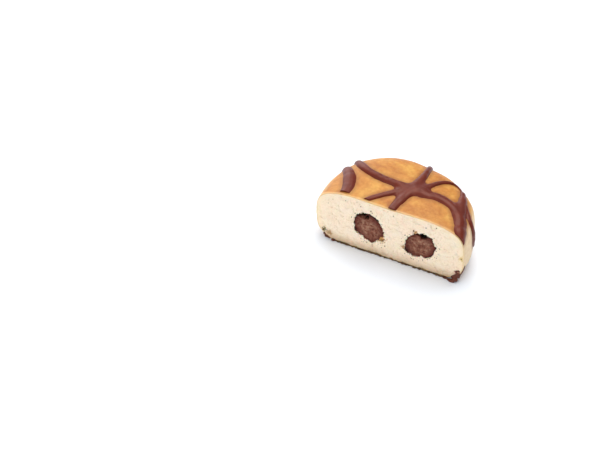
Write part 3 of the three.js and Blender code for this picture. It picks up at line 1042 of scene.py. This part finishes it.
def mark_rim(obj, measure):
    """Stores how far out each point of a cut face is, for its material."""
    rim = obj.data.attributes.new("rim", "FLOAT", "POINT")
    for vertex, entry in zip(obj.data.vertices, rim.data):
        entry.value = measure((vertex.co - ORIGIN) / MM)


def from_filling_middle(point, filling):
    """How far out a point of the cream's face is: 0 in the middle and 1 at its plain outline."""
    _, x, z, half_width, half_height, lean, _ = filling
    up = (point.z - z) / half_height
    across = (point.x - x + lean * (point.z - z)) / half_width
    return math.hypot(across, up)


def mark_chocolate(obj, pieces):
    """Stores how far each point of the crust is from chocolate, in millimetres."""
    scene_now = bpy.context.evaluated_depsgraph_get()
    trees = [BVHTree.FromObject(piece, scene_now) for piece in pieces]
    apart = obj.data.attributes.new("from_chocolate", "FLOAT", "POINT")
    for vertex, entry in zip(obj.data.vertices, apart.data):
        entry.value = min(tree.find_nearest(vertex.co)[3] for tree in trees) / MM


mark_rim(crumb, from_middle)
mark_chocolate(crust, (drizzle, arc))
for filling in FILLINGS:
    mark_rim(creams[filling[0]], lambda point: from_filling_middle(point, filling))
wear(crust, golden_crust())
wear(crumb, yeast_crumb())
cream_material = chocolate_cream()
for cream in creams.values():
    wear(cream, cream_material)
milk_chocolate = set_chocolate("set_milk_chocolate", "#5B190A", "#672110", 0.42)
dark_chocolate = set_chocolate("pooled_milk_chocolate", "#42190D", "#6B3424", 0.35)
for piece in (drizzle, arc):
    wear(piece, milk_chocolate)
for piece in (foot_left, foot_right):
    wear(piece, dark_chocolate)
wear(bits, browned_base())

# ---- Camera, floor and light ---------------------------------------------------------------

FRAME_WIDTH = 600
FRAME_HEIGHT = 450
SENSOR = 36  # its width in millimetres
ELEVATION = math.radians(45.19)
TURN = math.radians(25.15)  # the camera stands to the right of straight in front
DISTANCE = 1037.2  # to the shapes' origin along the view, in millimetres
FOCAL_PIXELS = 1927
ORIGIN_PIXEL = (386.18, 257.57)  # where the shapes' origin is in the picture


def add_camera():
    """Puts the camera where the photograph was taken from."""
    back = Vector(
        (
            math.sin(TURN) * math.cos(ELEVATION),
            -math.cos(TURN) * math.cos(ELEVATION),
            math.sin(ELEVATION),
        )
    )
    right = Vector((0, 0, 1)).cross(back).normalized()
    up = back.cross(right)
    across = (ORIGIN_PIXEL[0] - FRAME_WIDTH / 2) / FOCAL_PIXELS
    down = (ORIGIN_PIXEL[1] - FRAME_HEIGHT / 2) / FOCAL_PIXELS
    camera = bpy.data.objects.new("camera", bpy.data.cameras.new("camera"))
    bpy.context.scene.collection.objects.link(camera)
    camera.data.sensor_width = SENSOR
    camera.data.lens = FOCAL_PIXELS / FRAME_WIDTH * SENSOR
    spot = ORIGIN + (back - across * right + down * up) * DISTANCE * MM
    camera.matrix_world = Matrix.Translation(spot) @ Matrix((right, up, back)).transposed().to_4x4()
    bpy.context.scene.camera = camera


def add_area_light(name, spot, size, power):
    """A softbox that faces the doughnut, with its place and size in metres and power in watts."""
    light = bpy.data.lights.new(name, "AREA")
    light.size = size
    light.energy = power
    lamp = bpy.data.objects.new(name, light)
    bpy.context.scene.collection.objects.link(lamp)
    lamp.location = spot
    lamp.rotation_euler = (-Vector(spot)).to_track_quat("-Z", "Y").to_euler()


add_camera()
bpy.ops.mesh.primitive_plane_add(size=4)  # metres
floor = bpy.context.object
floor.name = "floor"
wear(floor, studio_floor(), smooth=False)
add_area_light("top_softbox", (0.06, 0.28, 1.07), size=0.8, power=10)
add_area_light("front_softbox", (-0.35, -1.2, 0.6), size=1.8, power=10.5)
add_area_light("backdrop", (-1.25, 1.15, 0.78), size=1.5, power=17.5)

world = bpy.data.worlds.new("studio")
bpy.context.scene.world = world
world.use_nodes = True
background = world.node_tree.nodes["Background"]
background.inputs["Color"].default_value = (0.95, 0.98, 1, 1)  # slightly cool daylight
background.inputs["Strength"].default_value = 0.42
bpy.context.scene.view_settings.view_transform = "Standard"

# ---- Pieces and the frame ------------------------------------------------------------------

for piece, slot, nodes in (
    (crust, "dough", ["dough"]),
    (crumb, "dough", []),
    (creams["left"], "chocolate_cream", ["filling_left"]),
    (creams["right"], "chocolate_cream", ["filling_right"]),
    (drizzle, "chocolate", ["chocolate_drizzle"]),
    (arc, "chocolate", ["chocolate_arc"]),
    (foot_left, "chocolate", ["chocolate_foot_left"]),
    (foot_right, "chocolate", ["chocolate_foot_right"]),
    (bits, "chocolate", []),
):
    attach(piece, "root")
    if nodes:
        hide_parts(*nodes)
